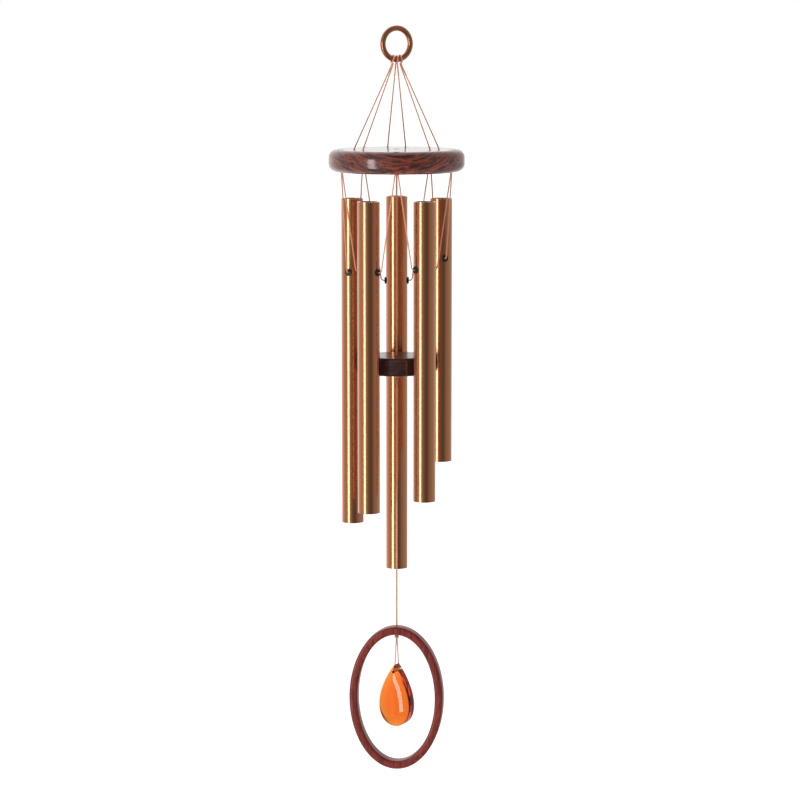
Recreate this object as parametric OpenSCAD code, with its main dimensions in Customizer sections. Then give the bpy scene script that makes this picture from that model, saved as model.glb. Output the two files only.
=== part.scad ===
// Wind chime: five tubes hang on cord slings under a round wooden disc, with a striker in the
// middle, an oval wooden sail below and a glass drop inside the sail.
// Millimetres, +Z up, +Y away from the viewer. The origin is the highest point inside the hanging
// ring, where a hook bears.

/* [Hanging ring] */
// Outer diameter of the hanging ring
ring_d = 31; // [26:0.5:50]
// Thickness of the ring's round bar
ring_bar_d = 4.6; // [3:0.1:6]
// Turn of the ring about the vertical
ring_turn = 29; // [-60:1:60]

/* [Cord] */
// Thickness of the hanging and lacing cord
cord_d = 1.2; // [0.8:0.1:1.4]
// Thickness of the cord in the middle
centre_cord_d = 1.6; // [1:0.1:2]
// Thickness of the thin cord that holds the glass drop
loop_cord_d = 1; // [0.8:0.1:1.2]
// Distance between the cord loops on the hanging ring
loop_spacing = 4; // [2:0.1:5]

/* [Top disc] */
// Diameter of the top disc
disc_d = 116.5; // [112:0.5:200]
// Thickness of the top disc
disc_t = 19; // [14:0.5:30]
// Radius of the disc's rounded rim
disc_edge_r = 7; // [1:0.5:9]
// Distance from the hook's bearing point down to the disc's upper face
disc_drop = 100; // [70:1:200]
// Radius of the circle on which the hanging cords enter the disc
hanger_circle_r = 37.2; // [24:0.1:40]
// Distance between the two cord holes of a pair
hanger_pair = 15.5; // [8:0.5:24]
// Radius of the circle of lacing holes
lace_circle_r = 49.8; // [46:0.1:52]
// Diameter of a lacing hole, which takes two strands
lace_hole_d = 5.4; // [4.8:0.1:6.4]

/* [Tubes] */
// Outer diameter of a tube
tube_d = 19; // [14:0.5:22]
// Wall of a tube
tube_wall = 1.6; // [1:0.1:2.5]
// Length of tube 1, the longest
tube_1_len = 328; // [250:1:400]
// Length of tube 2
tube_2_len = 282; // [230:1:350]
// Length of tube 3
tube_3_len = 266; // [230:1:320]
// Length of tube 4
tube_4_len = 256; // [230:1:310]
// Length of tube 5, the shortest
tube_5_len = 228; // [190:1:280]
// Gap from the disc's underside to the tubes' tops
tube_gap = 23.7; // [15:0.1:40]
// Where a tube hangs, as a share of its length: its quiet point
hang_share = 0.224; // [0.2:0.001:0.25]

/* [Striker] */
// Diameter of the striker
striker_d = 52; // [40:0.5:54]
// Thickness of the striker
striker_t = 15.5; // [8:0.5:20]
// Distance from the disc's upper face to the striker's upper face
striker_drop = 177; // [150:1:200]

/* [Sail] */
// Width of the oval sail
sail_w = 82.5; // [70:1:120]
// Height of the oval sail
sail_h = 127; // [115:1:170]
// Width of the sail's wooden band
sail_band = 7.2; // [5:0.1:9]
// Depth of the sail, from face to face
sail_depth = 13; // [8:0.5:20]
// Distance from the striker's underside to the sail's top
sail_drop = 222.5; // [205:1:300]
// Turn of the sail about the vertical
sail_turn = 8; // [-90:1:90]

/* [Glass drop] */
// Width of the glass drop
drop_w = 31; // [24:0.5:36]
// Height of the glass drop
drop_h = 55; // [45:0.5:60]
// Thickness of the glass drop
drop_t = 15; // [10:0.5:20]
// Distance from the sail's knot to the hole in the drop
drop_loop_len = 30.5; // [27:0.5:36]
// Turn of the drop about the vertical
drop_turn = 30; // [-90:1:90]

/* [Hidden] */

$fn = 64;
// Gap between a cord or knot and the piece that it moves against
fit = 0.25;
cord_r = cord_d / 2;
centre_cord_r = centre_cord_d / 2;
loop_cord_r = loop_cord_d / 2;
CORD_SIDES = 8;
BEND_STEPS = 3;

// Heights
ring_mid_r = (ring_d - ring_bar_d) / 2;
ring_z = ring_bar_d / 2 - ring_mid_r;
bar_low_z = ring_z - ring_mid_r;
disc_top_z = -disc_drop;
disc_under_z = disc_top_z - disc_t;
tube_top_z = disc_under_z - tube_gap;
striker_top_z = disc_top_z - striker_drop;
striker_under_z = striker_top_z - striker_t;
sail_top_z = striker_under_z - sail_drop;
sail_mid_z = sail_top_z - sail_h / 2;

// Cord holes and the knots that sit in recesses
hanger_hole_d = 2 * cord_d + 0.8;
knot_r = 2.2;
recess_d = 2 * knot_r + 1;
recess_depth = 2 * knot_r + 0.9;
lacing_knot_r = 2.6;
lace_recess_d = 2 * lacing_knot_r + 1.2;
lace_recess_depth = 2 * lacing_knot_r + 0.4;
cord_in_hole = 3;
// Each of the two strands in a lacing hole stands this far from the hole's centre
strand_offset = 1.6;
centre_hole_d = centre_cord_d + 2.4;
centre_knot_r = 2.3;
centre_knot_z = disc_top_z - centre_knot_r - 0.4;

// Tubes stand on a circle halfway between the lacing holes, so that each hangs plumb
tube_lengths = [tube_1_len, tube_2_len, tube_3_len, tube_4_len, tube_5_len];
tube_step = 360 / len(tube_lengths);
tube_circle_r = lace_circle_r * cos(tube_step / 2);
lace_half_span = lace_circle_r * sin(tube_step / 2);
function tube_turn(n) = 90 + tube_step * (n - 1);
function plug_z(n) = tube_top_z - hang_share * tube_lengths[n - 1];

// Plugs
plug_bore_d = cord_d + 1;
plug_shank_d = plug_bore_d + 2.2;
plug_flange_d = plug_shank_d + 1.8;
plug_flange_t = 1.1;
plug_lip_t = 0.9;
plug_seat = tube_d / 2 + 0.05;
plug_face = plug_seat + plug_flange_t;
plug_lip_out = sqrt(pow(tube_d / 2 - tube_wall, 2) - pow(plug_flange_d / 2, 2)) - 0.05;
sling_bend_r = 2.6;
sling_bend_start = plug_face + 0.4;

// Middle
striker_bore_d = centre_cord_d + 0.8;
striker_knot_r = 2.5;
striker_knot_z = striker_under_z - striker_knot_r - fit;
striker_edge_r = 1.2;
sail_knot_r = 2.1;
sail_inner_top_z = sail_top_z - sail_band;
sail_knot_z = sail_inner_top_z - sail_knot_r - 0.2;
sail_bore_d = centre_cord_d + 0.8;

// Glass drop: its outline is a drop curve, sin(a) * sin(a / 2) ^ DROP_POWER across by cos(a) high
DROP_POWER = 0.9;
DROP_STEPS = 24;
DROP_SIDES = 32;
DROP_SQUARENESS = 2.4;
drop_hole_z = sail_knot_z - drop_loop_len;
drop_hole_depth = 6.2;
drop_bore_d = loop_cord_d + 1.6;
drop_top_z = drop_hole_z + drop_hole_depth;
loop_bend_r = 2.2;
loop_spread = 3.4;
function drop_curve(a) = sin(a) * pow(sin(a / 2), DROP_POWER);
drop_curve_max = max([for (i = [0 : 180]) drop_curve(i)]);

// Colours
BRONZE = [0.50, 0.30, 0.18];
RING_BROWN = [0.42, 0.25, 0.17];
CORD_COPPER = [0.72, 0.48, 0.36];
DARK_WOOD = [0.35, 0.17, 0.11];
STRIKER_WOOD = [0.22, 0.12, 0.09];
RED_WOOD = [0.43, 0.17, 0.12];
BLACK = [0.06, 0.06, 0.06];
TAN = [0.66, 0.50, 0.34];
AMBER = [0.90, 0.50, 0.12, 0.8];

function unit(v) = v / norm(v);

// A ring of CORD_SIDES points about p, square to the direction t
function cord_ring(p, t, side, r) = [for (k = [0 : CORD_SIDES - 1])
    let (a = 360 * k / CORD_SIDES) p + r * (cos(a) * side + sin(a) * cross(t, side))];

// The direction of a route at point i
function heading(pts, i) = unit(pts[min(i + 1, len(pts) - 1)] - pts[max(i - 1, 0)]);

// A round cord along points that lie in one plane; side is that plane's normal
module cord(pts, r, side) {
    n = CORD_SIDES;
    rings = [for (i = [0 : len(pts) - 1]) each cord_ring(pts[i], heading(pts, i), side, r)];
    last = (len(pts) - 1) * n;
    walls = [for (i = [0 : len(pts) - 2], k = [0 : n - 1]) each
        let (a = i * n + k, b = i * n + (k + 1) % n) [[a, a + n, b + n], [a, b + n, b]]];
    caps = [[for (k = [0 : n - 1]) k], [for (k = [n - 1 : -1 : 0]) last + k]];
    polyhedron(points = rings, faces = concat(walls, caps));
}

// Puts children into a tube's own frame: X outwards, Y along the plugs' line
module at_tube(n, z) {
    rotate([0, 0, tube_turn(n)]) translate([tube_circle_r, 0, z]) children();
}

// Points of an arc of radius r about c in the Y-Z plane, from angle a0 to a1
function arc_yz(c, r, a0, a1, steps) = [for (i = [0 : steps])
    let (a = a0 + (a1 - a0) * i / steps) c + r * [0, cos(a), sin(a)]];

module hanging_ring() {
    color(RING_BROWN) translate([0, 0, ring_z]) rotate([90, 0, ring_turn])
        rotate_extrude() translate([ring_mid_r, 0]) circle(d = ring_bar_d, $fn = 32);
}

// Centre of the ring's bar under loop n
function loop_angle(n) = (n - 2) * loop_spacing / ring_mid_r * 180 / PI;
function loop_centre(n) = [0, 0, ring_z] + ring_mid_r * [
    sin(loop_angle(n)) * cos(ring_turn), sin(loop_angle(n)) * sin(ring_turn), -cos(loop_angle(n))];

// A turn of cord around the ring's bar
module hanger_loop(n) {
    color(CORD_COPPER) translate(loop_centre(n)) rotate([0, 0, ring_turn])
        rotate([0, 90 - loop_angle(n), 0])
            rotate_extrude() translate([ring_bar_d / 2 + fit + cord_r, 0])
                circle(r = cord_r, $fn = 24);
}

// The pair of holes of hanging cord n: left, back and right, as their loops are along the ring
hanger_turns = [210, 90, 330];
function hanger_hole(n, side) = let (a = hanger_turns[n - 1])
    [hanger_circle_r * cos(a) - side * hanger_pair / 2 * sin(a),
     hanger_circle_r * sin(a) + side * hanger_pair / 2 * cos(a), 0];

// Each leg starts under its loop, beside its twin
leg_start_drop = ring_bar_d / 2 + 2 * fit + cord_d + 0.5;
leg_spread = cord_r + 0.15;
function leg_side(n, side) = let (a = hanger_turns[n - 1]) side * leg_spread * [-sin(a), cos(a), 0];

module hanger_leg(n, side) {
    hole = hanger_hole(n, side);
    start = loop_centre(n) + leg_side(n, side) - [0, 0, leg_start_drop];
    enters = hole + [0, 0, disc_top_z + cord_r];
    ends = hole + [0, 0, disc_top_z - cord_in_hole];
    flat = enters - start;
    cord([start, enters, ends], cord_r, unit([flat.y, -flat.x, 0]));
}

module hanger_cord(n) {
    color(CORD_COPPER) for (side = [-1, 1]) hanger_leg(n, side);
}

module top_disc() {
    half = disc_d / 2;
    color(DARK_WOOD) difference() {
        translate([0, 0, disc_under_z]) rotate_extrude($fn = 128) {
            square([half - disc_edge_r, disc_t]);
            translate([0, disc_edge_r]) square([half, disc_t - 2 * disc_edge_r]);
            for (z = [disc_edge_r, disc_t - disc_edge_r])
                translate([half - disc_edge_r, z]) circle(r = disc_edge_r);
        }
        for (n = [1 : 3], side = [-1, 1]) translate(hanger_hole(n, side)) {
            translate([0, 0, disc_under_z - 1]) cylinder(d = hanger_hole_d, h = disc_t + 2, $fn = 32);
            translate([0, 0, disc_under_z - 1]) cylinder(d = recess_d, h = recess_depth + 1, $fn = 32);
        }
        for (n = [1 : 5]) rotate([0, 0, tube_turn(n) + tube_step / 2])
            translate([lace_circle_r, 0, 0]) {
                translate([0, 0, disc_under_z - 1]) cylinder(d = lace_hole_d, h = disc_t + 2, $fn = 32);
                translate([0, 0, disc_top_z - lace_recess_depth])
                    cylinder(d = lace_recess_d, h = lace_recess_depth + 1, $fn = 32);
            }
        translate([0, 0, disc_under_z - 1]) cylinder(d = centre_hole_d, h = disc_t + 2, $fn = 32);
        translate([0, 0, disc_top_z - 2 * centre_knot_r - 0.7])
            cylinder(d = 2 * centre_knot_r + 2, h = 2 * centre_knot_r + 2, $fn = 32);
    }
}

// Stopper knots under the disc, one for each leg, with the cord that runs up from each
module hanger_knots() {
    knot_z = disc_under_z + knot_r + 0.3;
    cord_end_z = disc_top_z - cord_in_hole;
    color(CORD_COPPER) for (n = [1 : 3], side = [-1, 1]) translate(hanger_hole(n, side)) {
        translate([0, 0, knot_z]) sphere(r = knot_r, $fn = 32);
        translate([0, 0, knot_z]) cylinder(r = cord_r, h = cord_end_z - knot_z, $fn = 24);
    }
}

// Knots above the lacing holes, each with its two strands' cord
module lacing_knots() {
    knot_z = disc_top_z - lacing_knot_r - 0.3;
    cord_end_z = disc_under_z + cord_in_hole + 0.5;
    color(CORD_COPPER) for (n = [1 : 5]) rotate([0, 0, tube_turn(n) + tube_step / 2])
        translate([lace_circle_r, 0, 0]) {
            translate([0, 0, knot_z]) sphere(r = lacing_knot_r, $fn = 32);
            for (side = [-1, 1]) translate([0, side * (cord_r + 0.4), cord_end_z])
                cylinder(r = cord_r, h = knot_z - cord_end_z, $fn = 24);
        }
}

// A tube's cord, in the tube's frame: down from one lacing hole, through both plugs and up again
module sling(n) {
    drop = disc_under_z - plug_z(n);
    top = [0, lace_half_span - strand_offset, drop];
    centre = [0, sling_bend_start, sling_bend_r];
    // the bend ends where the strand leaves it straight for the hole
    away = top - centre;
    lean = atan2(away.z, away.y) - acos(sling_bend_r / norm(away));
    bend = arc_yz(centre, sling_bend_r, lean, -90, BEND_STEPS);
    past = top + cord_in_hole * unit(top - bend[0]);
    right = concat([past], bend);
    left = [for (i = [len(right) - 1 : -1 : 0]) [0, -right[i].y, right[i].z]];
    color(CORD_COPPER) at_tube(n, plug_z(n)) cord(concat(right, left), cord_r, [1, 0, 0]);
}

module tube(n) {
    h = tube_lengths[n - 1];
    color(BRONZE) difference() {
        at_tube(n, tube_top_z - h) difference() {
            cylinder(d = tube_d, h = h);
            translate([0, 0, -1]) cylinder(d = tube_d - 2 * tube_wall, h = h + 2);
        }
        at_tube(n, plug_z(n)) rotate([90, 0, 0])
            cylinder(d = plug_shank_d + 0.1, h = tube_d + 2, center = true, $fn = 32);
    }
}

// One flanged plug, pointing along +Z from the tube's axis
module plug() {
    difference() {
        union() {
            translate([0, 0, plug_seat]) cylinder(d = plug_flange_d, h = plug_flange_t / 2, $fn = 32);
            translate([0, 0, plug_seat + plug_flange_t / 2])
                cylinder(d1 = plug_flange_d, d2 = plug_flange_d - plug_flange_t, h = plug_flange_t / 2,
                    $fn = 32);
            translate([0, 0, plug_lip_out - plug_lip_t])
                cylinder(d = plug_shank_d, h = plug_seat - plug_lip_out + plug_lip_t, $fn = 32);
            translate([0, 0, plug_lip_out - plug_lip_t])
                cylinder(d = plug_flange_d - 0.4, h = plug_lip_t, $fn = 32);
        }
        translate([0, 0, plug_lip_out - plug_lip_t - 1])
            cylinder(d = plug_bore_d, h = plug_face - plug_lip_out + plug_lip_t + 2, $fn = 32);
    }
}

module tube_plugs(n) {
    color(BLACK) at_tube(n, plug_z(n)) for (side = [-90, 90]) rotate([side, 0, 0]) plug();
}

module centre_knot() {
    color(CORD_COPPER) translate([0, 0, centre_knot_z]) sphere(r = centre_knot_r, $fn = 32);
}

module striker_cord() {
    color(CORD_COPPER) cord([[0, 0, centre_knot_z - centre_knot_r - fit],
        [0, 0, striker_under_z - fit / 2]], centre_cord_r, [1, 0, 0]);
}

module striker() {
    half = striker_d / 2;
    color(STRIKER_WOOD) translate([0, 0, striker_under_z]) difference() {
        rotate_extrude($fn = 128) {
            square([half - striker_edge_r, striker_t]);
            translate([0, striker_edge_r]) square([half, striker_t - 2 * striker_edge_r]);
            for (z = [striker_edge_r, striker_t - striker_edge_r])
                translate([half - striker_edge_r, z]) circle(r = striker_edge_r);
        }
        translate([0, 0, -1]) cylinder(d = striker_bore_d, h = striker_t + 2, $fn = 32);
    }
}

module striker_knot() {
    color(CORD_COPPER) translate([0, 0, striker_knot_z]) sphere(r = striker_knot_r, $fn = 32);
}

module sail_cord() {
    color(CORD_COPPER) cord([[0, 0, striker_knot_z - striker_knot_r - fit],
        [0, 0, sail_knot_z + sail_knot_r]], centre_cord_r, [1, 0, 0]);
}

module sail_knot() {
    color(TAN) translate([0, 0, sail_knot_z]) sphere(r = sail_knot_r, $fn = 32);
}

module sail_ring() {
    color(RED_WOOD) difference() {
        translate([0, 0, sail_mid_z]) rotate([90, 0, -sail_turn]) difference() {
            scale([sail_w / sail_h, 1, 1])
                cylinder(d = sail_h, h = sail_depth, center = true, $fn = 128);
            scale([(sail_w - 2 * sail_band) / (sail_h - 2 * sail_band), 1, 1])
                cylinder(d = sail_h - 2 * sail_band, h = sail_depth + 2, center = true, $fn = 128);
        }
        translate([0, 0, sail_inner_top_z - 3]) cylinder(d = sail_bore_d, h = sail_band + 6, $fn = 32);
    }
}

// The loop that holds the drop, in the drop's frame: Y is square to the drop's face
module drop_loop() {
    high = [0, loop_cord_r + 0.1, sail_knot_z - drop_hole_z - sail_knot_r - fit];
    centre = [0, loop_spread - loop_bend_r, loop_bend_r];
    near = concat([high], arc_yz(centre, loop_bend_r, 0, -90, BEND_STEPS));
    far = [for (i = [len(near) - 1 : -1 : 0]) [0, -near[i].y, near[i].z]];
    color(CORD_COPPER) translate([0, 0, drop_hole_z]) rotate([0, 0, -drop_turn])
        cord(concat(near, far), loop_cord_r, [1, 0, 0]);
}

// A level slice through the drop, a rounded oblong of half-widths a and b
function drop_slice(a, b, z) = [for (k = [0 : DROP_SIDES - 1]) let (t = 360 * k / DROP_SIDES)
    [a * sign(cos(t)) * pow(abs(cos(t)), 2 / DROP_SQUARENESS),
     b * sign(sin(t)) * pow(abs(sin(t)), 2 / DROP_SQUARENESS), z]];

module drop_body() {
    n = DROP_SIDES;
    slices = [for (i = [1 : DROP_STEPS - 1])
        let (a = 180 * i / DROP_STEPS, share = drop_curve(a) / drop_curve_max / 2)
        each drop_slice(share * drop_w, share * drop_t, drop_h / 2 * (cos(a) - 1))];
    top = len(slices);
    last = top - n;
    walls = [for (i = [0 : DROP_STEPS - 3], k = [0 : n - 1]) each
        let (a = i * n + k, b = i * n + (k + 1) % n) [[a, b, b + n], [a, b + n, a + n]]];
    ends = [for (k = [0 : n - 1]) each
        [[top, (k + 1) % n, k], [top + 1, last + k, last + (k + 1) % n]]];
    polyhedron(points = concat(slices, [[0, 0, 0], [0, 0, -drop_h]]), faces = concat(walls, ends));
}

module glass_drop() {
    color(AMBER) difference() {
        translate([0, 0, drop_top_z]) rotate([0, 0, -drop_turn]) drop_body();
        translate([0, 0, drop_hole_z]) rotate([90, 0, -drop_turn])
            cylinder(d = drop_bore_d, h = drop_t + 2, center = true, $fn = 32);
    }
}

hanging_ring();
hanger_loop(1);  // hanger_loop_1
hanger_loop(2);  // hanger_loop_2
hanger_loop(3);  // hanger_loop_3
hanger_cord(1);  // hanger_cord_1
hanger_cord(2);  // hanger_cord_2
hanger_cord(3);  // hanger_cord_3
top_disc();
hanger_knots();
lacing_knots();
sling(1);  // sling_1
sling(2);  // sling_2
sling(3);  // sling_3
sling(4);  // sling_4
sling(5);  // sling_5
tube(1);  // tube_1
tube(2);  // tube_2
tube(3);  // tube_3
tube(4);  // tube_4
tube(5);  // tube_5
tube_plugs(1);  // tube_1_plugs
tube_plugs(2);  // tube_2_plugs
tube_plugs(3);  // tube_3_plugs
tube_plugs(4);  // tube_4_plugs
tube_plugs(5);  // tube_5_plugs
centre_knot();
striker_cord();
striker();
striker_knot();
sail_cord();
sail_knot();
sail_ring();
drop_loop();
glass_drop();
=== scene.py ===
"""Wind chime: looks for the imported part, made around its frame, in metres."""

import math

import bmesh
import bpy
import numpy as np
from bpy.props import FloatProperty, FloatVectorProperty, IntProperty, PointerProperty
from bpy.types import Operator, Panel, PropertyGroup
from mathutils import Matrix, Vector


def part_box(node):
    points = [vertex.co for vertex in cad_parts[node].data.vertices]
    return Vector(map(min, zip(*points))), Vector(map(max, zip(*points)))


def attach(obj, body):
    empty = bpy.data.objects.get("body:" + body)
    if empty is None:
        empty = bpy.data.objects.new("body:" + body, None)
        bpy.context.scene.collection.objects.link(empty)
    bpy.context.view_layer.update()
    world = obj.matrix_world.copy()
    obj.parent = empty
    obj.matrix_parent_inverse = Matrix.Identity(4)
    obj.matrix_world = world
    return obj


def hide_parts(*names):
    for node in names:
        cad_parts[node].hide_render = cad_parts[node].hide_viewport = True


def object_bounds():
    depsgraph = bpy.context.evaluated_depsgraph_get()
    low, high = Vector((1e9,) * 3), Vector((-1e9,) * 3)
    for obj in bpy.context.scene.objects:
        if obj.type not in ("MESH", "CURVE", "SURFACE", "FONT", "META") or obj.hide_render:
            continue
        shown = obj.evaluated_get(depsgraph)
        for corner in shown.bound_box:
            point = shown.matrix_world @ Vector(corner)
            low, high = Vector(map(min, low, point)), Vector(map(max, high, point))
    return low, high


bl_info = {
    "name": "Wind chime",
    "version": (1, 0, 0),
    "blender": (4, 5, 0),
    "location": "View3D > Sidebar > Wind chime",
    "description": "Cords, knots, wood, metal and glass of a hanging wind chime",
    "category": "Object",
}

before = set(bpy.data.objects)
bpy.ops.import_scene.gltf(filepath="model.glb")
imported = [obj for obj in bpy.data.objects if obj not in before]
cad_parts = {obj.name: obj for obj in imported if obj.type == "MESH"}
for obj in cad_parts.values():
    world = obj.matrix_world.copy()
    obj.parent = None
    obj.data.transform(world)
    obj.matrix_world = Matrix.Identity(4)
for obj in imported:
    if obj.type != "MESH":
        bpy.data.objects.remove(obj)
CAD_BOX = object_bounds()
MM = 0.001

# The routes of the cords, in millimetres, as the part has them
RING_Z, RING_MID_R, RING_TURN = -10.9, 13.2, math.radians(29)
LOOP_SPACING, LOOP_R = 4.0, 3.15
HANGER_TURNS = (210, 90, 330)
HANGER_CIRCLE, HANGER_PAIR, LEG_SPREAD = 37.2, 15.5, 0.75
DISC_TOP, DISC_UNDER, CORD_IN_HOLE = -100.0, -119.0, 3.0
LACE_CIRCLE, LACE_HALF_SPAN, STRAND_OFFSET = 49.8, 29.272, 1.6
TUBE_CIRCLE, TUBE_STEP = 40.289, 72
PLUG_Z = (-216.172, -205.868, -202.284, -200.044, -193.772)
BEND_R, BEND_START = 2.6, 11.05
STRIKER_CORD_Z = (-105.25, -292.625)
SAIL_CORD_Z = (-298.0, -522.4)
KNOTS = {"centre_knot": (-102.7, 2.3), "striker_knot": (-295.25, 2.5), "sail_knot": (-524.5, 2.1)}
DROP_HOLE_Z, DROP_TURN = -555.0, math.radians(-30)
DROP_LOOP_HIGH, DROP_LOOP_SPREAD, DROP_LOOP_R = 29.4, 3.4, 2.2
HANGER_KNOT_Z, HANGER_KNOT_R = -116.5, 2.2
LACE_KNOT_Z, LACE_KNOT_R, LACE_STRAND_LOW = -102.9, 2.6, -115.5
# How far below a loop a leg starts and straightens, and how far above its hole it bends in
LEG_START, LEG_STRAIGHT, HOLE_LEAD = 0.25, 1.6, 0.6
# How far a loop's turn shifts along the ring's bar
LOOP_SHIFT = 0.55
# Half the gap between the ends of the drop's loop, and between two strands at a lacing knot
DROP_LOOP_GAP, STRAND_GAP = 0.6, 0.4
# The steps along a cord and along the short ends in the disc, and how far from a corner a cord
# starts to bend: a free bend, and one that its route has rounded already
CORD_STEP, STRAND_STEP, FREE_BEND, KEPT_BEND = 0.3, 0.4, 2.5, 0.1
# The length of one turn of a cord's lay, in cord radii, and a knot's cord, in knot radii
LAY_PITCH, KNOT_CORD = 6.4, 0.42

# The sail and the drop, in millimetres, with the lengths that their UVs count along the rows
SAIL_WIDTH, SAIL_BAND, SAIL_DEPTH, SAIL_TURN = 82.5, 7.2, 13.0, math.radians(-8)
SAIL_ROUND, DROP_ROUND = 330.0, 20.0
DROP_HEIGHT, DROP_HALF_WIDTH, DROP_HALF_DEPTH, DROP_WALL = 55.0, 15.5, 7.5, 3.6
DROP_NECK, DROP_DOME, DROP_MIDDLE = 0.9, 2.4, 0.6
DROP_BORE_R, DROP_BORE_REACH = 1.3, 12.0

# The floor and the camera, in metres and degrees, and the camera's lens, in millimetres
FLOOR_BELOW, FLOOR_HALF = 0.75, 60.0
CAMERA_PLACE, CAMERA_DOWN, CAMERA_REACH = (0.0029, -2.437, 0.0191), 7.83, 60.0
LENS_LENGTH, LENS_SENSOR = 128.25, 36.0
LAMP_AIM = (0, 0, -0.3)

# The sockets of a colour mix: its factor, its two colours and its result
MIX_FACTOR, MIX_A, MIX_B, MIX_RESULT = 0, 6, 7, 2

# How bright the room is by direction: a quarter is the front, a half the right and
# three quarters the back
ROOM = ((0.0, 0.52), (0.1, 0.42), (0.2, 0.34), (0.26, 0.17), (0.33, 0.12), (0.40, 0.33),
        (0.5, 0.42), (0.66, 0.6), (0.75, 1.25), (0.86, 1.1), (1.0, 0.52))
# Name, place, size and power of each soft light
LAMPS = (("key_strip", (-1.48, -1.62, -0.55), (0.46, 1.7), 17.0),
         ("left_soft", (-2.4, -0.9, 0.6), (1.3, 1.6), 12.0),
         ("front_soft", (0.9, -2.6, 0.9), (1.4, 1.0), 9.0),
         ("top_soft", (0.0, 0.3, 2.0), (2.2, 2.2), 14.0))


# ---------------------------------------------------------------- surfaces


def unit(v):
    """Vectors divided by their lengths."""
    return v / np.linalg.norm(v, axis=-1, keepdims=True)


def turned(points, angle):
    """Points turned about the vertical: x cos a - y sin a, x sin a + y cos a."""
    c, s = math.cos(angle), math.sin(angle)
    return np.asarray(points, float) @ np.array([[c, s, 0], [-s, c, 0], [0, 0, 1]])


def heading(angle):
    """The level unit vector at an angle: (cos a, sin a, 0)."""
    return np.array([math.cos(angle), math.sin(angle), 0])


def leftward(v):
    """A level vector turned a quarter to the left: (-y, x, 0)."""
    return np.array([-v[1], v[0], 0])


def grid_quads(rows, cols, round_rows, round_cols):
    """Four corner numbers for each cell of a grid, joined to its start where it is round."""
    r = np.arange(rows if round_rows else rows - 1)[:, None]
    c = np.arange(cols if round_cols else cols - 1)[None, :]
    near, far = r * cols, ((r + 1) % rows) * cols
    step = (c + 1) % cols
    return np.stack([near + c, near + step, far + step, far + c], -1).reshape(-1, 4)


def grid(points, round_rows=False, length=1.0):
    """A tube of points as (points, quads, fans, corner UVs); one with open rows gets a fan at
    each end. The first UV number goes once across the columns, and the second is the length
    along the rows."""
    rows, cols = points.shape[:2]
    quads = grid_quads(rows, cols, round_rows, True)
    r, c = quads[:, 0] // cols, quads[:, 0] % cols
    u = np.stack([c, c + 1, c + 1, c], -1) / cols
    v = np.stack([r, r, r + 1, r + 1], -1) * (length / (rows - 1))
    uvs = np.stack([u, v], -1).reshape(-1, 2)
    flat = points.reshape(-1, 3)
    fans = np.zeros((0, 3), int)
    if not round_rows:
        k = np.arange(cols)
        n = len(flat)
        first = np.stack([np.full(cols, n), (k + 1) % cols, k], -1)
        last = np.stack([np.full(cols, n + 1), k, (k + 1) % cols], -1)
        last[:, 1:] += (rows - 1) * cols
        fans = np.concatenate([first, last])
        flat = np.concatenate([flat, points[0].mean(0)[None], points[-1].mean(0)[None]])
    return flat, quads, fans, uvs


def outward(points, quads, fans):
    """1 where the faces' signed volume is positive, which is when they point outwards, else -1."""
    tris = np.concatenate([quads[:, [0, 1, 2]], quads[:, [0, 2, 3]], fans])
    a, b, c = (points[tris[:, k]] for k in range(3))
    return 1 if np.einsum("ij,ij->", a, np.cross(b, c)) > 0 else -1


def surface(name, grids, material):
    """A mesh object from grids in millimetres: their points one after another, faces outwards."""
    verts, faces, uvs, start = [], [], [], 0
    for points, quads, fans, uv in grids:
        if outward(points - points.mean(0), quads, fans) < 0:
            quads, fans = quads[:, ::-1], fans[:, ::-1]
            uv = uv.reshape(-1, 4, 2)[:, ::-1].reshape(-1, 2)
        verts.append(points)
        faces += (quads + start).tolist() + (fans + start).tolist()
        uvs += [uv, np.zeros((fans.size, 2))]
        start += len(points)
    mesh = bpy.data.meshes.new(name)
    mesh.from_pydata((np.concatenate(verts) * MM).tolist(), [], faces)
    mesh.polygons.foreach_set("use_smooth", np.ones(len(faces), bool))
    layer = mesh.uv_layers.new(name="along")
    layer.data.foreach_set("uv", np.concatenate(uvs).astype(np.float32).ravel())
    mesh.materials.append(material)
    mesh.update()
    made = bpy.data.objects.new(name, mesh)
    bpy.context.scene.collection.objects.link(made)
    return made


def spaced(points, step):
    """Points at even steps of length along a polyline."""
    points = np.asarray(points, float)
    along = np.r_[0, np.cumsum(np.linalg.norm(np.diff(points, axis=0), axis=1))]
    at = np.linspace(0, along[-1], max(2, round(along[-1] / step) + 1))
    return np.stack([np.interp(at, along, points[:, k]) for k in range(3)], -1)


def rounded(points, cut, steps=9):
    """A polyline whose corners are quadratic curves that start `cut` before each corner."""
    points = np.asarray(points, float)
    t = np.linspace(0, 1, steps)[:, None]
    made = [points[:1]]
    for before, corner, after in zip(points, points[1:], points[2:]):
        a = corner + unit(before - corner) * min(cut, np.linalg.norm(before - corner) / 2)
        b = corner + unit(after - corner) * min(cut, np.linalg.norm(after - corner) / 2)
        made.append((1 - t) ** 2 * a + 2 * t * (1 - t) * corner + t**2 * b)
    return np.concatenate(made + [points[-1:]])


def laid_section(radius, turns, sides, strands=3, groove=0.14):
    """Radii of a laid cord: r (1 - g + g |cos(k/2 (a - twist))|), with k strands and a groove g."""
    a = np.arange(sides) * 2 * np.pi / sides
    lobe = np.abs(np.cos(strands / 2 * (a[None, :] - 2 * np.pi * turns[:, None])))
    return radius * (1 - groove + groove * lobe)


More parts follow.
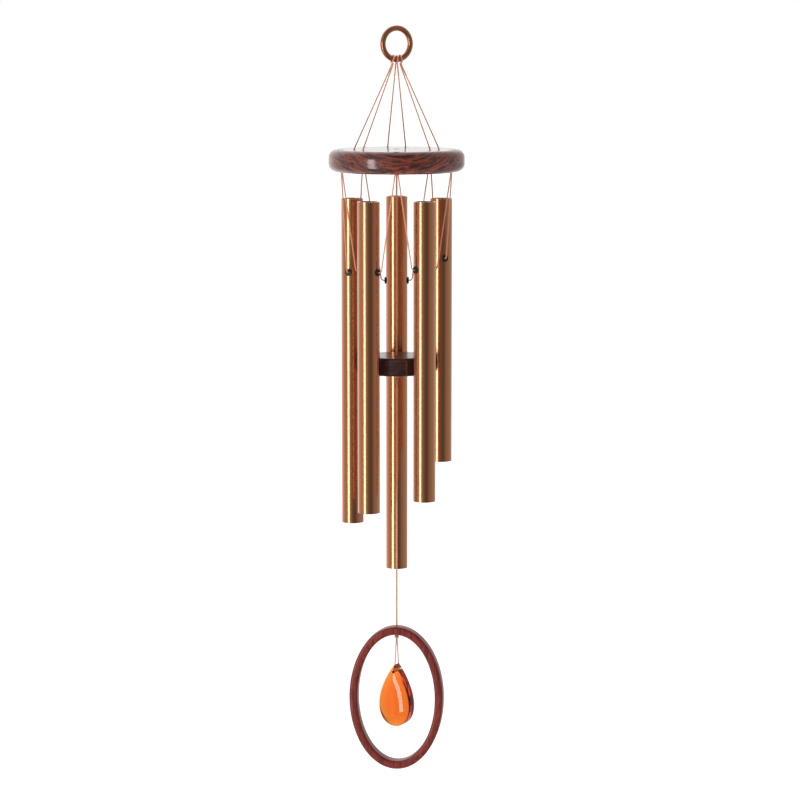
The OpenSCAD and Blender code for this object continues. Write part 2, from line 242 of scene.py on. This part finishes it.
def laid_cord(path, radius, normal, sides=15, round_path=False):
    """A twisted cord: p(s) + r(a, s) (cos a n + sin a b), a three-lobed ring about each path
    point p in the plane of n and b, square to the path. `normal` is n, square to the path
    everywhere: one vector, or one for each point."""
    if round_path:
        ahead = unit(np.roll(path, -1, 0) - np.roll(path, 1, 0))
    else:
        ahead = unit(np.gradient(path, axis=0))
    normal = np.broadcast_to(normal, path.shape)
    normal = unit(normal - ahead * np.sum(normal * ahead, -1, keepdims=True))
    across = np.cross(ahead, normal)
    steps = np.linalg.norm(np.diff(path, axis=0), axis=1)
    along = np.r_[0, np.cumsum(steps)]
    turns = along / (LAY_PITCH * radius)
    if round_path:
        turns = turns * (max(1, round(turns[-1])) / (turns[-1] * (1 + 1 / len(path))))
    a = np.arange(sides) * 2 * np.pi / sides
    r = laid_section(radius, turns, sides)[..., None]
    ring = np.cos(a)[None, :, None] * normal[:, None] + np.sin(a)[None, :, None] * across[:, None]
    return grid(path[:, None] + r * ring, round_rows=round_path, length=along[-1])


def knot(centre, outer_r, tilt=0.0):
    """A tight overhand knot: a laid cord along a trefoil,
    (sin t + 2 sin 2t, cos t - 2 cos 2t, -1.6 sin 3t), shrunk until it fits a ball of radius
    outer_r. The normal is square to the curve's own bend."""
    cord_r = KNOT_CORD * outer_r
    t = np.linspace(0, 2 * np.pi, 120, endpoint=False)
    scale = (outer_r - cord_r) / 3.0
    s, c = np.sin, np.cos
    curve = np.stack([s(t) + 2 * s(2 * t), c(t) - 2 * c(2 * t), -1.6 * s(3 * t)], -1)
    first = np.stack([c(t) + 4 * c(2 * t), -s(t) + 4 * s(2 * t), -4.8 * c(3 * t)], -1)
    second = np.stack([-s(t) - 8 * s(2 * t), -c(t) + 8 * c(2 * t), 14.4 * s(3 * t)], -1)
    path = turned(curve * scale, tilt)
    normal = turned(unit(np.cross(first, second)), tilt)
    return laid_cord(path + np.asarray(centre, float), cord_r, normal, sides=12, round_path=True)


def sail_points(half_height, edge):
    """The oval sail about its own middle. With (u, v) going round the band's rounded section and
    w = width/2 - band/2: ((w + u) sin t, v, (half_height - band/2 + u) cos t)."""
    a = np.concatenate([np.radians(np.linspace(q, q + 90, 9)) for q in (0, 90, 180, 270)])
    corner = np.repeat([(1, 1), (-1, 1), (-1, -1), (1, -1)], 9, axis=0)
    u = corner[:, 0] * (SAIL_BAND / 2 - edge) + edge * np.cos(a)
    v = corner[:, 1] * (SAIL_DEPTH / 2 - edge) + edge * np.sin(a)
    t = np.linspace(0, 2 * np.pi, 240, endpoint=False)[:, None]
    return np.stack([(SAIL_WIDTH / 2 - SAIL_BAND / 2 + u) * np.sin(t), v + 0 * t,
                     (half_height - SAIL_BAND / 2 + u) * np.cos(t)], -1)


def drop_points(sides):
    """The glass drop below its top. Its outline is x = w sin a |sin a/2|^0.9 and
    z = h/2 (cos a - 1), drawn in towards the middle by a share q of 0 to 1. Its faces are domes,
    y = wall + (depth - wall) sqrt(1 - q^2.4), on either side of a straight wall."""
    a = np.linspace(0, 2 * np.pi, sides, endpoint=False)
    shape = np.sin(a) * np.abs(np.sin(a / 2)) ** DROP_NECK
    x = DROP_HALF_WIDTH * shape / np.abs(shape).max()
    z = DROP_HEIGHT / 2 * (np.cos(a) - 1)
    middle = -DROP_HEIGHT * DROP_MIDDLE
    q = np.sin(np.linspace(0, np.pi / 2, 26))[1:]
    face = DROP_WALL + (DROP_HALF_DEPTH - DROP_WALL) * np.sqrt(np.clip(1 - q**DROP_DOME, 0, 1))
    side = np.array([-0.5, 0.0, 0.5]) * DROP_WALL
    share = np.concatenate([q, np.ones(3), q[::-1]])[:, None]
    y = np.concatenate([-face, side, face[::-1]])[:, None]
    return np.stack([share * x, y + 0 * x, middle + share * (z - middle)], -1)


# ---------------------------------------------------------------- materials


def node(tree, kind, inputs=None, **settings):
    """A shader node with its settings, and its inputs linked or set."""
    made = tree.nodes.new("ShaderNode" + kind)
    for key, value in settings.items():
        setattr(made, key, value)
    for key, value in (inputs or {}).items():
        if isinstance(value, bpy.types.NodeSocket):
            tree.links.new(value, made.inputs[key])
        else:
            made.inputs[key].default_value = value
    return made


def colour(r, g, b):
    """A linear colour with alpha from screen values of 0 to 255."""
    c = np.array([r, g, b]) / 255
    linear = np.where(c <= 0.04045, c / 12.92, ((c + 0.055) / 1.055) ** 2.4)
    return (*linear.tolist(), 1.0)


def ramp(tree, factor, *stops):
    """A colour ramp over (position, colour) stops."""
    made = node(tree, "ValToRGB", {"Fac": factor})
    elements = made.color_ramp.elements
    while len(elements) < len(stops):
        elements.new(0.5)
    for element, (position, value) in zip(elements, stops):
        element.position = position
        element.color = value if len(value) == 4 else (*value, 1.0)
    return made.outputs["Color"]


def blank(name):
    """A new material, its node tree and its shader."""
    made = bpy.data.materials.new(name)
    made.use_nodes = True
    tree = made.node_tree
    return made, tree, tree.nodes["Principled BSDF"]


def spread(tree, factor, low, high):
    """A factor of 0 to 1 spread from low to high."""
    made = node(tree, "MapRange", {"Value": factor, "To Min": low, "To Max": high})
    return made.outputs["Result"]


def stretched(tree, scale):
    """Object coordinates scaled along each axis."""
    place = node(tree, "TexCoord").outputs["Object"]
    return node(tree, "Mapping", {"Vector": place, "Scale": scale}).outputs["Vector"]


def noise(tree, vector, scale, detail=3.0, roughness=0.5, distortion=0.0):
    """Smooth noise from 0 to 1."""
    return node(tree, "TexNoise", {"Vector": vector, "Scale": scale, "Detail": detail,
                                   "Roughness": roughness, "Distortion": distortion}).outputs["Fac"]


def mixed(tree, factor, a, b):
    """Two colours mixed by a factor."""
    made = node(tree, "Mix", data_type="RGBA")
    for place, value in ((MIX_FACTOR, factor), (MIX_A, a), (MIX_B, b)):
        if isinstance(value, bpy.types.NodeSocket):
            tree.links.new(value, made.inputs[place])
        else:
            made.inputs[place].default_value = value
    return made.outputs[MIX_RESULT]


def plain(shader, values):
    """Constant values for a shader's inputs, by name."""
    for key, value in values.items():
        shader.inputs[key].default_value = value


def bump(tree, shader, height, strength, distance):
    """Fine relief from a height."""
    made = node(tree, "Bump", {"Height": height, "Strength": strength, "Distance": distance})
    tree.links.new(made.outputs["Normal"], shader.inputs["Normal"])


def curved_layers(tree, place, heart):
    """Coordinates of growth layers that curve about a heart line along Y at a height: the
    distance from that line, and slow changes along the board."""
    about = node(tree, "VectorMath", {0: place, 1: (0, 0, -heart)}, operation="ADD").outputs[0]
    flat = node(tree, "VectorMath", {0: about, 1: (1, 0.03, 1)}, operation="MULTIPLY").outputs[0]
    far = node(tree, "VectorMath", {0: flat}, operation="LENGTH").outputs["Value"]
    part = node(tree, "SeparateXYZ", {"Vector": place})
    along = node(tree, "Math", {0: part.outputs["X"], 1: 0.09}, operation="MULTIPLY").outputs[0]
    deep = node(tree, "Math", {0: part.outputs["Y"], 1: 0.12}, operation="MULTIPLY").outputs[0]
    return node(tree, "CombineXYZ", {"X": along, "Y": deep, "Z": far}).outputs["Vector"]


def wood(name, dark, middle, light, along, heart=None, gloss=0.32, coat=0.35):
    """Lacquered wood: growth layers from noise drawn out along the grain, dark pores and a soft
    sheen. `along` gives the grain's stretch on each axis, small along the grain; `heart` curves
    the layers."""
    made, tree, shader = blank(name)
    body = stretched(tree, along)
    if heart is not None:
        body = curved_layers(tree, node(tree, "TexCoord").outputs["Object"], heart)
    layers = noise(tree, body, 420, detail=5, roughness=0.55, distortion=0.9)
    broad = noise(tree, body, 90, detail=2, roughness=0.5, distortion=0.4)
    fine = stretched(tree, tuple(v * (0.35 if v < 0.5 else 2.2) for v in along))
    pores = noise(tree, fine, 900, detail=2, roughness=0.6)
    base = ramp(tree, layers, (0.38, dark), (0.45, middle), (0.5, light), (0.55, middle),
                (0.62, dark))
    base = mixed(tree, spread(tree, broad, 0.0, 0.45), base, dark)
    pore = ramp(tree, pores, (0.36, (1, 1, 1)), (0.42, (0, 0, 0)))
    base = mixed(tree, pore, base, tuple(0.35 * v for v in dark[:3]) + (1.0,))
    tree.links.new(base, shader.inputs["Base Color"])
    sheen = spread(tree, layers, gloss - 0.06, gloss + 0.1)
    tree.links.new(sheen, shader.inputs["Roughness"])
    plain(shader, {"Coat Weight": coat, "Coat Roughness": 0.13, "Coat IOR": 1.6,
                   "Specular IOR Level": 0.3})
    bump(tree, shader, pores, 0.25, 0.0002)
    return made


def bronze(name, tint, roughness, brushed, coat):
    """Anodised metal: long fine brush lines along the tube, and slow changes of tone."""
    made, tree, shader = blank(name)
    lines = noise(tree, stretched(tree, (1, 1, brushed)), 2600, detail=2, roughness=0.6)
    slow = noise(tree, stretched(tree, (1, 1, 0.25)), 38, detail=2)
    deep = tuple(v * 0.86 for v in tint[:3]) + (1.0,)
    pale = tuple(min(1, v * 1.1) for v in tint[:3]) + (1.0,)
    base = mixed(tree, spread(tree, lines, 0.1, 0.9), deep, pale)
    base = mixed(tree, spread(tree, slow, 0.0, 0.35), base, deep)
    tree.links.new(base, shader.inputs["Base Color"])
    satin = spread(tree, lines, roughness - 0.01, roughness + 0.02)
    tree.links.new(satin, shader.inputs["Roughness"])
    plain(shader, {"Metallic": 1.0, "Coat Weight": coat, "Coat Roughness": 0.2, "Coat IOR": 1.8})
    return made


def cord_fibre(name, tint, shade):
    """Twisted synthetic cord: fine fibres slanting along its own UV, with painted shade that
    darkens the low places of their relief, darker spots at random, and a sheen."""
    made, tree, shader = blank(name)
    uv = node(tree, "TexCoord").outputs["UV"]
    slanted = node(tree, "Mapping", {"Vector": uv, "Scale": (9, 1.6, 1), "Rotation": (0, 0, 0.5)})
    fibres = noise(tree, slanted.outputs["Vector"], 6.0, detail=2)
    spots = noise(tree, node(tree, "TexCoord").outputs["Object"], 700, detail=2)
    # Painted shade: where the fibres' bump relief is low, the darker colour shows
    base = mixed(tree, fibres, shade, tint)
    # The same darker colour in random spots, the cord's own uneven tone
    base = mixed(tree, spread(tree, spots, 0.0, 0.4), base, shade)
    tree.links.new(base, shader.inputs["Base Color"])
    plain(shader, {"Roughness": 0.55, "Sheen Weight": 0.35, "Sheen Roughness": 0.4})
    bump(tree, shader, fibres, 0.5, 0.0002)
    return made


def rubber(name):
    """Matt black rubber with a faint bloom and a fine moulded texture."""
    made, tree, shader = blank(name)
    place = node(tree, "TexCoord").outputs["Object"]
    grit = noise(tree, place, 2400, detail=3)
    bloom = noise(tree, place, 260, detail=2)
    base = ramp(tree, bloom, (0.3, colour(14, 14, 15)), (0.7, colour(30, 30, 31)))
    tree.links.new(base, shader.inputs["Base Color"])
    tree.links.new(spread(tree, grit, 0.42, 0.62), shader.inputs["Roughness"])
    bump(tree, shader, grit, 0.2, 0.0001)
    return made


def amber(name, tint, depth_tint, density):
    """Amber glass: a clear tinted shell over a body that swallows light by its depth."""
    made, tree, shader = blank(name)
    place = node(tree, "TexCoord").outputs["Object"]
    swirl = noise(tree, place, 34, detail=2, roughness=0.5, distortion=0.6)
    tree.links.new(mixed(tree, spread(tree, swirl, 0, 0.5), tint, (1, 0.86, 0.55, 1)),
                   shader.inputs["Base Color"])
    plain(shader, {"Transmission Weight": 1.0, "IOR": 1.5, "Roughness": 0.015})
    body = node(tree, "VolumeAbsorption", {"Color": depth_tint, "Density": density})
    tree.links.new(body.outputs["Volume"], tree.nodes["Material Output"].inputs["Volume"])
    return made


def dress(name, material):
    """Gives a CAD node a material."""
    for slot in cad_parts[name].material_slots:
        slot.material = material


# ---------------------------------------------------------------- routes


def loop_place(n):
    """Centre of the ring's bar under loop n, and the bar's heading there."""
    a = (n - 2) * LOOP_SPACING / RING_MID_R
    centre = turned([RING_MID_R * math.sin(a), 0, -RING_MID_R * math.cos(a)], RING_TURN)
    return centre + [0, 0, RING_Z], turned([math.cos(a), 0, math.sin(a)], RING_TURN)


def loop_route(n):
    """Once round the ring's bar: centre + r (cos t down + sin t side) + shift sin t along, where
    down and side are square to the bar's own heading, along. Gives the path and the heading."""
    centre, along = loop_place(n)
    t = np.linspace(0, 2 * np.pi, 90, endpoint=False)[:, None]
    down = np.array([0, 0, -1.0])
    down = unit(down - along * (down @ along))
    side = np.cross(along, down)
    turn = (np.cos(t) * down + np.sin(t) * side) * LOOP_R
    return centre + turn + LOOP_SHIFT * np.sin(t) * along, along


def hanger_route(n, side):
    """From a loop's lowest point down to the disc and into its hole."""
    out = heading(math.radians(HANGER_TURNS[n - 1]))
    beside = leftward(out)
    hole = HANGER_CIRCLE * out + side * HANGER_PAIR / 2 * beside
    start = loop_place(n)[0] + side * LEG_SPREAD * beside
    return np.array([start - [0, 0, LOOP_R + LEG_START], start - [0, 0, LOOP_R + LEG_STRAIGHT],
                     hole + [0, 0, DISC_TOP + HOLE_LEAD], hole + [0, 0, DISC_TOP - CORD_IN_HOLE]])


def tube_angle(n):
    """Where tube n stands about the middle; n and a half is the hole after it."""
    return math.radians(90 + TUBE_STEP * (n - 1))


def at_tube(points, n):
    """Points from tube n's frame, X outwards and Y along its plugs, to the object's frame."""
    place = turned(np.asarray(points) + [TUBE_CIRCLE, 0, 0], tube_angle(n))
    return place + [0, 0, PLUG_Z[n - 1]]


def sling_route(n):
    """Down from one lacing hole, round through both plugs of a tube, and up to the next hole:
    a straight line that meets the bend centre + r (0, cos a, sin a) at a tangent, and both
    mirrored in Y."""
    top = np.array([0, LACE_HALF_SPAN - STRAND_OFFSET, DISC_UNDER - PLUG_Z[n - 1]])
    centre = np.array([0, BEND_START, BEND_R])
    away = top - centre
    lean = math.atan2(away[2], away[1]) - math.acos(BEND_R / np.linalg.norm(away))
    a = np.linspace(lean, -math.pi / 2, 14)
    bend = centre + BEND_R * np.stack([0 * a, np.cos(a), np.sin(a)], -1)
    right = np.concatenate([[top + CORD_IN_HOLE * unit(top - bend[0])], bend])
    return at_tube(np.concatenate([right, right[::-1] * [1, -1, 1]]), n)


def drop_loop_route():
    """From the sail's knot down, through the drop's hole from back to front, and up again: a
    line, the quarter circle centre + r (0, cos a, sin a), and both mirrored in Y."""
    a = np.linspace(0, -math.pi / 2, 12)
    arc = np.array([0, DROP_LOOP_SPREAD - DROP_LOOP_R, DROP_LOOP_R]) + DROP_LOOP_R * np.stack(
        [0 * a, np.cos(a), np.sin(a)], -1)
    near = np.concatenate([[[0, DROP_LOOP_GAP, DROP_LOOP_HIGH]], arc])
    return turned(np.concatenate([near, near[::-1] * [1, -1, 1]]), DROP_TURN) + [0, 0, DROP_HOLE_Z]


def disc_knots(r):
    """The grids of the stopper knots under the disc and of the lacing knots above it, each with
    its short ends, which are cords of radius r straight up or down the holes."""
    x = np.array([1.0, 0, 0])
    under, above = [], []
    for n in (1, 2, 3):
        for side in (-1, 1):
            hole = hanger_route(n, side)[3]
            low = [hole[0], hole[1], HANGER_KNOT_Z]
            under += [knot(low, HANGER_KNOT_R, n + side),
                      laid_cord(spaced([low, hole], STRAND_STEP), r, x)]
    for n in range(1, 6):
        out = heading(tube_angle(n + 0.5))
        place = LACE_CIRCLE * out + [0, 0, LACE_KNOT_Z]
        above.append(knot(place, LACE_KNOT_R, n))
        for side in (-1, 1):
            top = place + side * (r + STRAND_GAP) * leftward(out)
            low = np.array([top[0], top[1], LACE_STRAND_LOW])
            above.append(laid_cord(spaced([low, top], STRAND_STEP), r, x))
    return under, above


# ---------------------------------------------------------------- pieces


def placed(made, body, replaced):
    """Puts a piece on its body, in place of a node."""
    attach(made, body)
    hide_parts(replaced)


def cord_piece(name, route, diameter, normal, body, replaced, cut=FREE_BEND):
    """A laid cord along a route in millimetres, put on its body in place of a node."""
    path = spaced(rounded(route, cut), CORD_STEP)
    made = surface(name, [laid_cord(path, diameter / 2, normal)], cord_material())
    placed(made, body, replaced)


def cord_material():
    """The copper cord's material, made once."""
    looks = bpy.context.scene.wind_chime
    return bpy.data.materials.get("copper_cord_twisted") or cord_fibre(
        "copper_cord_twisted", (*looks.cord_tint, 1), (*looks.cord_painted_shade_and_spots, 1))


# ---------------------------------------------------------------- the stage


def pale_floor(scene):
    """A wide pale floor that reflections don't see."""
    step = np.linspace(-1, 1, 3) * FLOOR_HALF
    x, y = np.meshgrid(step, step)
    flat = np.stack([x, y, np.full_like(x, CAD_BOX[0].z - FLOOR_BELOW)], -1)
    white, tree, shader = blank("pale_floor")
    soft = noise(tree, node(tree, "TexCoord").outputs["Object"], 1.3, detail=2)
    tree.links.new(ramp(tree, soft, (0.3, (0.93, 0.93, 0.925)), (0.7, (0.95, 0.95, 0.95))),
                   shader.inputs["Base Color"])
    plain(shader, {"Roughness": 0.9, "Specular IOR Level": 0.1,
                   "Emission Color": (1, 1, 1, 1), "Emission Strength": 0.62})
    mesh = bpy.data.meshes.new("floor")
    mesh.from_pydata(flat.reshape(-1, 3).tolist(), [], grid_quads(3, 3, False, False).tolist())
    mesh.materials.append(white)
    floor = bpy.data.objects.new("floor", mesh)
    scene.collection.objects.link(floor)
    floor.visible_glossy = False
    return floor


def studio(scene):
    """A world that is white to the camera, and a room of uneven brightness to everything else."""
    world = bpy.data.worlds.new("studio")
    scene.world = world
    world.use_nodes = True
    tree = world.node_tree
    back = tree.nodes["Background"]
    way = node(tree, "TexGradient", {"Vector": node(tree, "TexCoord").outputs["Generated"]},
               gradient_type="RADIAL")
    room = ramp(tree, way.outputs["Fac"], *((at, (v, v, v)) for at, v in ROOM))
    seen = node(tree, "LightPath").outputs["Is Camera Ray"]
    tree.links.new(mixed(tree, seen, room, (1, 1, 1, 1)), back.inputs["Color"])
    back.inputs["Strength"].default_value = 1.0


def soft_lamp(scene, name, place, size, power):
    """A rectangle of light aimed at the object's middle. Only the key shows in reflections."""
    lamp = bpy.data.lights.new(name, "AREA")
    lamp.shape, lamp.size, lamp.size_y, lamp.energy = "RECTANGLE", *size, power
    made = bpy.data.objects.new(name, lamp)
    scene.collection.objects.link(made)
    made.location = place
    to = np.array(LAMP_AIM) - np.array(place)
    made.rotation_euler = (math.atan2(math.hypot(to[0], to[1]), -to[2]), 0,
                           math.atan2(to[1], to[0]) - math.pi / 2)
    made.visible_camera = False
    made.visible_glossy = name == "key_strip"


def camera(scene):
    """The camera in front of the object, looking a little down."""
    lens = bpy.data.cameras.new("camera")
    lens.sensor_width, lens.lens = LENS_SENSOR, LENS_LENGTH
    lens.clip_end = CAMERA_REACH
    made = bpy.data.objects.new("camera", lens)
    scene.collection.objects.link(made)
    made.location = CAMERA_PLACE
    made.rotation_euler = (math.radians(90 - CAMERA_DOWN), 0, 0)
    scene.camera = made


# ---------------------------------------------------------------- the operators


class ChimeLooks(PropertyGroup):
    """Sizes and colours that a user may change."""

    cord_d: FloatProperty(
        name="Cord", description="Thickness of the hanging and lacing cord, in mm",
        default=1.2, min=0.8, max=1.4)
    centre_cord_d: FloatProperty(
        name="Middle cord", description="Thickness of the cord in the middle, in mm",
        default=1.6, min=1.0, max=2.0)
    loop_cord_d: FloatProperty(
        name="Drop's cord", description="Thickness of the drop's thin cord, in mm",
        default=1.0, min=0.8, max=1.2)
    sail_edge: FloatProperty(
        name="Sail's edge", description="Radius of the sail's rounded edges, in mm",
        default=2.2, min=0.5, max=3.0)
    glass_density: FloatProperty(
        name="Glass depth", description="How fast the glass swallows light",
        default=300.0, min=0.0, max=600.0)
    drop_sides: IntProperty(
        name="Drop's sides", description="Points round the glass drop",
        default=160, min=48, max=256)
    cord_tint: FloatVectorProperty(
        name="Cord", description="Lit colour of the cord",
        subtype="COLOR", default=colour(236, 164, 124)[:3])
    # The cord's darker colour: painted shade between its fibres, and its random darker spots
    cord_painted_shade_and_spots: FloatVectorProperty(
        name="Cord's shade", description="Colour between the cord's fibres",
        subtype="COLOR", default=colour(186, 108, 76)[:3])
    tube_tint: FloatVectorProperty(
        name="Tubes", description="Colour of the anodised tubes",
        subtype="COLOR", default=colour(208, 132, 78)[:3])
    ring_tint: FloatVectorProperty(
        name="Ring", description="Colour of the hanging ring",
        subtype="COLOR", default=colour(196, 128, 92)[:3])


class CHIME_OT_stage(Operator):
    """Pale floor, soft lights and the camera"""

    bl_idname = "chime.stage"
    bl_label = "Stage"

    def execute(self, context):
        scene = context.scene
        pale_floor(scene)
        studio(scene)
        for lamp in LAMPS:
            soft_lamp(scene, *lamp)
        camera(scene)
        scene.view_settings.view_transform = "Standard"
        return {"FINISHED"}


class CHIME_OT_hanger_cords(Operator):
    """Three cords over the ring, each with two legs to the disc"""

    bl_idname = "chime.hanger_cords"
    bl_label = "Hanging cords"

    def execute(self, context):
        d = context.scene.wind_chime.cord_d
        for n in (1, 2, 3):
            path, along = loop_route(n)
            loop = surface(f"cord_loop_{n}", [laid_cord(path, d / 2, along, round_path=True)],
                           cord_material())
            placed(loop, "loops", f"hanger_loop_{n}")
            for side_name, side in (("left", -1), ("right", 1)):
                route = hanger_route(n, side)
                across = route[2] - route[0]
                normal = unit(np.array([across[1], -across[0], 0]))
                cord_piece(f"hanger_leg_{n}_{side_name}", route, d, normal, "crown",
                           f"hanger_cord_{n}")
        return {"FINISHED"}


class CHIME_OT_slings(Operator):
    """The tubes' lacing cords"""

    bl_idname = "chime.slings"
    bl_label = "Tube slings"

    def execute(self, context):
        d = context.scene.wind_chime.cord_d
        for n in range(1, 6):
            cord_piece(f"tube_sling_{n}", sling_route(n), d, heading(tube_angle(n)),
                       f"sling_{n}", f"sling_{n}", cut=KEPT_BEND)
        return {"FINISHED"}


class CHIME_OT_middle_cords(Operator):
    """The cords of the striker, the sail and the drop"""

    bl_idname = "chime.middle_cords"
    bl_label = "Middle cords"

    def execute(self, context):
        looks = context.scene.wind_chime
        x = np.array([1.0, 0, 0])
        for name, ends, body in (("striker_line", STRIKER_CORD_Z, "striker_cord"),
                                 ("sail_line", SAIL_CORD_Z, "sail_cord")):
            cord_piece(name, [[0, 0, ends[0]], [0, 0, ends[1]]], looks.centre_cord_d, x, body, body)
        cord_piece("drop_line", drop_loop_route(), looks.loop_cord_d, turned(x, DROP_TURN),
                   "drop_loop", "drop_loop", cut=KEPT_BEND)
        return {"FINISHED"}


class CHIME_OT_knots(Operator):
    """Every tied knot, with the short ends in the disc's holes"""

    bl_idname = "chime.knots"
    bl_label = "Knots"

    def execute(self, context):
        looks = context.scene.wind_chime
        under, above = disc_knots(looks.cord_d / 2)
        for name, grids in (("hanger_knots", under), ("lacing_knots", above)):
            placed(surface("tied_" + name, grids, cord_material()), "crown", name)
        for name, body in (("centre_knot", "centre_knot"), ("striker_knot", "striker_knot"),
                           ("sail_knot", "sail_cord")):
            z, outer = KNOTS[name]
            if name == "sail_knot":
                slot = "tan_cord"
                # The second colour is the tan cord's painted shade between its fibres and its
                # random darker spots
                material = cord_fibre("tan_cord_twisted", colour(205, 165, 120),
                                      colour(150, 105, 66))
            else:
                slot, material = "copper_cord", cord_material()
            made = surface("tied_" + name, [knot([0, 0, z], outer)], material)
            placed(made, body, name)
        return {"FINISHED"}


class CHIME_OT_metal(Operator):
    """The hanging ring, the tubes and their rubber plugs"""

    bl_idname = "chime.metal"
    bl_label = "Ring, tubes and plugs"

    def execute(self, context):
        looks = context.scene.wind_chime
        dress("hanging_ring", bronze("ring_bronze_satin", (*looks.ring_tint, 1), roughness=0.36,
                                     brushed=1.0, coat=0.1))
        tube = bronze("tube_bronze_brushed", (*looks.tube_tint, 1), roughness=0.2, brushed=0.001,
                      coat=0.8)
        black = rubber("black_rubber_matt")
        for n in range(1, 6):
            dress(f"tube_{n}", tube)
            dress(f"tube_{n}_plugs", black)
        return {"FINISHED"}


class CHIME_OT_wood(Operator):
    """The disc and the striker"""

    bl_idname = "chime.wood"
    bl_label = "Disc and striker"

    def execute(self, context):
        dress("top_disc", wood("disc_wood", colour(40, 22, 24), colour(104, 42, 28),
                               colour(156, 70, 40), (0.1, 0.55, 1.0), heart=-0.03, coat=0.7))
        dress("striker", wood("striker_wood_dark", colour(34, 18, 16), colour(58, 28, 22),
                              colour(84, 42, 32), (0.12, 0.6, 1.0)))
        return {"FINISHED"}


class CHIME_OT_sail(Operator):
    """The oval sail with rounded edges"""

    bl_idname = "chime.sail"
    bl_label = "Sail"

    def execute(self, context):
        low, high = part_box("sail_ring")
        red = wood("sail_mahogany", colour(92, 24, 18), colour(124, 34, 20), colour(146, 44, 24),
                   (1.0, 0.6, 0.12), gloss=0.4, coat=0.25)
        points = sail_points((high.z - low.z) / MM / 2, context.scene.wind_chime.sail_edge)
        points = turned(points, SAIL_TURN) + [0, 0, (high.z + low.z) / MM / 2]
        made = surface("oval_sail", [grid(points, round_rows=True, length=SAIL_ROUND)], red)
        placed(made, "sail", "sail_ring")
        return {"FINISHED"}


class CHIME_OT_glass_drop(Operator):
    """The amber glass drop with a domed face and a side wall"""

    bl_idname = "chime.glass_drop"
    bl_label = "Glass drop"

    def execute(self, context):
        looks = context.scene.wind_chime
        points = turned(drop_points(looks.drop_sides), DROP_TURN)
        points += [0, 0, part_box("glass_drop")[1].z / MM]
        glass = amber("amber_glass_clear", colour(255, 240, 214), (0.937, 0.607, 0.033, 1),
                      looks.glass_density)
        made = surface("amber_drop", [grid(points, length=DROP_ROUND)], glass)
        placed(made, "drop", "glass_drop")
        drill(made)
        return {"FINISHED"}


def drill(made):
    """Bores the drop's hole with a round cutter, (r cos a, y, r sin a), square through the drop."""
    a = np.linspace(0, 2 * np.pi, 40, endpoint=False)
    y = np.array([-DROP_BORE_REACH, DROP_BORE_REACH])[:, None]
    bore = np.stack([DROP_BORE_R * np.cos(a) + 0 * y, y + 0 * a,
                     DROP_BORE_R * np.sin(a) + 0 * y], -1)
    cutter = surface("cutter", [grid(turned(bore, DROP_TURN) + [0, 0, DROP_HOLE_Z])],
                     made.data.materials[0])
    cut = made.modifiers.new("bore", "BOOLEAN")
    cut.operation, cut.object, cut.solver = "DIFFERENCE", cutter, "EXACT"
    bpy.context.view_layer.update()
    graph = bpy.context.evaluated_depsgraph_get()
    shaped = bpy.data.meshes.new_from_object(made.evaluated_get(graph))
    made.modifiers.clear()
    made.data = shaped
    shaped.name = made.name
    work = bmesh.new()
    work.from_mesh(shaped)
    for edge in work.edges:
        edge.smooth = len(edge.link_faces) == 2 and edge.calc_face_angle(0) < math.radians(50)
    work.to_mesh(shaped)
    work.free()
    bpy.data.objects.remove(cutter)


class CHIME_PT_sidebar(Panel):
    """Lists the chime's pieces"""

    bl_label = "Wind chime"
    bl_idname = "CHIME_PT_sidebar"
    bl_space_type = "VIEW_3D"
    bl_region_type = "UI"
    bl_category = "Wind chime"

    def draw(self, context):
        looks = context.scene.wind_chime
        for name in ChimeLooks.__annotations__:
            self.layout.prop(looks, name)
        for made in STEPS:
            self.layout.operator(made.bl_idname)


STEPS = (CHIME_OT_stage, CHIME_OT_hanger_cords, CHIME_OT_slings, CHIME_OT_middle_cords,
         CHIME_OT_knots, CHIME_OT_metal, CHIME_OT_wood, CHIME_OT_sail, CHIME_OT_glass_drop)
CLASSES = (ChimeLooks, *STEPS, CHIME_PT_sidebar)


def register():
    """Adds the classes and their settings."""
    for made in CLASSES:
        bpy.utils.register_class(made)
    bpy.types.Scene.wind_chime = PointerProperty(type=ChimeLooks)


def unregister():
    """Removes them again."""
    del bpy.types.Scene.wind_chime
    for made in reversed(CLASSES):
        bpy.utils.unregister_class(made)


def main():
    """Makes every piece in order."""
    register()
    for made in STEPS:
        group, name = made.bl_idname.split(".")
        getattr(getattr(bpy.ops, group), name)()


if __name__ == "__main__":
    main()
